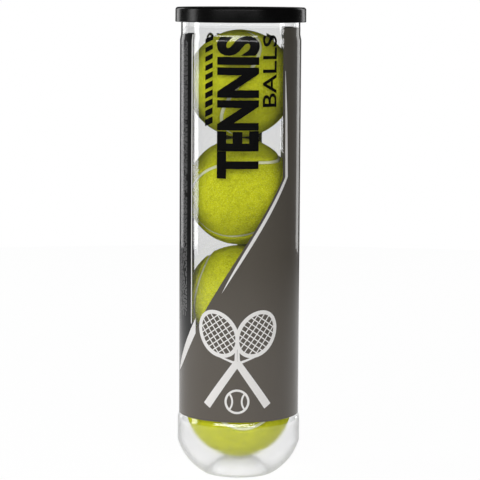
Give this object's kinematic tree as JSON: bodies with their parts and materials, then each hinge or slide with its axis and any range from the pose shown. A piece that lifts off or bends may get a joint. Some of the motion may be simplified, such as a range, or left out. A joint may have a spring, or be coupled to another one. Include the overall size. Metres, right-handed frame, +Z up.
{
  "type": "tennis ball can",
  "caption": "Tall clear plastic can with a printed label, rounded push-up base, seamed metal tear-out end with ring pull, push-on black lid and a stack of felt tennis balls inside.",
  "frame": {"origin": "centre of the standing ring under the base, on the can's axis", "axes": "+Z up the can's axis, -Y the front of the label, +X the side the ring pull's nose points to"},
  "size_m": [0.08, 0.08, 0.288],
  "materials": {
    "clear_plastic": "clear gloss",
    "label_film": "printed gloss film",
    "end_metal": "rolled, satin",
    "tab_metal": "stamped, bright",
    "sealing_rubber": "matt",
    "cap_plastic": "satin black",
    "core_rubber": "moulded",
    "ball_felt": "woolly felt",
    "seam_glue": "matt"
  },
  "bodies": {
    "can": {"can_body": "clear_plastic", "label_sleeve": "label_film", "end_ring": "end_metal", "seam_compound": "sealing_rubber"},
    "ball_1": {"ball_1_core_lower": "core_rubber", "ball_1_core_upper": "core_rubber", "ball_1_felt_a": "ball_felt", "ball_1_felt_b": "ball_felt", "ball_1_seam": "seam_glue"},
    "ball_2": {"ball_2_core_lower": "core_rubber", "ball_2_core_upper": "core_rubber", "ball_2_felt_a": "ball_felt", "ball_2_felt_b": "ball_felt", "ball_2_seam": "seam_glue"},
    "ball_3": {"ball_3_core_lower": "core_rubber", "ball_3_core_upper": "core_rubber", "ball_3_felt_a": "ball_felt", "ball_3_felt_b": "ball_felt", "ball_3_seam": "seam_glue"},
    "ball_4": {"ball_4_core_lower": "core_rubber", "ball_4_core_upper": "core_rubber", "ball_4_felt_a": "ball_felt", "ball_4_felt_b": "ball_felt", "ball_4_seam": "seam_glue"},
    "tear_panel": {"tear_panel": "end_metal", "tab_tongue": "tab_metal"},
    "pull_tab": {"pull_tab": "tab_metal"},
    "overcap": {"overcap": "cap_plastic"}
  },
  "joints": [
    {"name": "ball_1_lift", "type": "slide", "parent": "can", "child": "ball_1", "axis": [0, 0, 1], "range_m": [0, 0.278]},
    {"name": "ball_2_lift", "type": "slide", "parent": "ball_1", "child": "ball_2", "axis": [0, 0, 1], "range_m": [0, 0.211]},
    {"name": "ball_3_lift", "type": "slide", "parent": "ball_2", "child": "ball_3", "axis": [0, 0, 1], "range_m": [0, 0.145]},
    {"name": "ball_4_lift", "type": "slide", "parent": "ball_3", "child": "ball_4", "axis": [0, 0, 1], "range_m": [0, 0.078]},
    {"name": "tear_panel_lift", "type": "slide", "parent": "ball_4", "child": "tear_panel", "axis": [0, 0, 1], "range_m": [0, 0.04]},
    {"name": "overcap_lift", "type": "slide", "parent": "tear_panel", "child": "overcap", "axis": [0, 0, 1], "range_m": [0, 0.04]},
    {"name": "pull_tab_hinge", "type": "hinge", "parent": "tear_panel", "child": "pull_tab", "pos_m": [0.0285, 0, 0.2821], "axis": [0, 1, 0], "range_deg": [0, 8]}
  ]
}
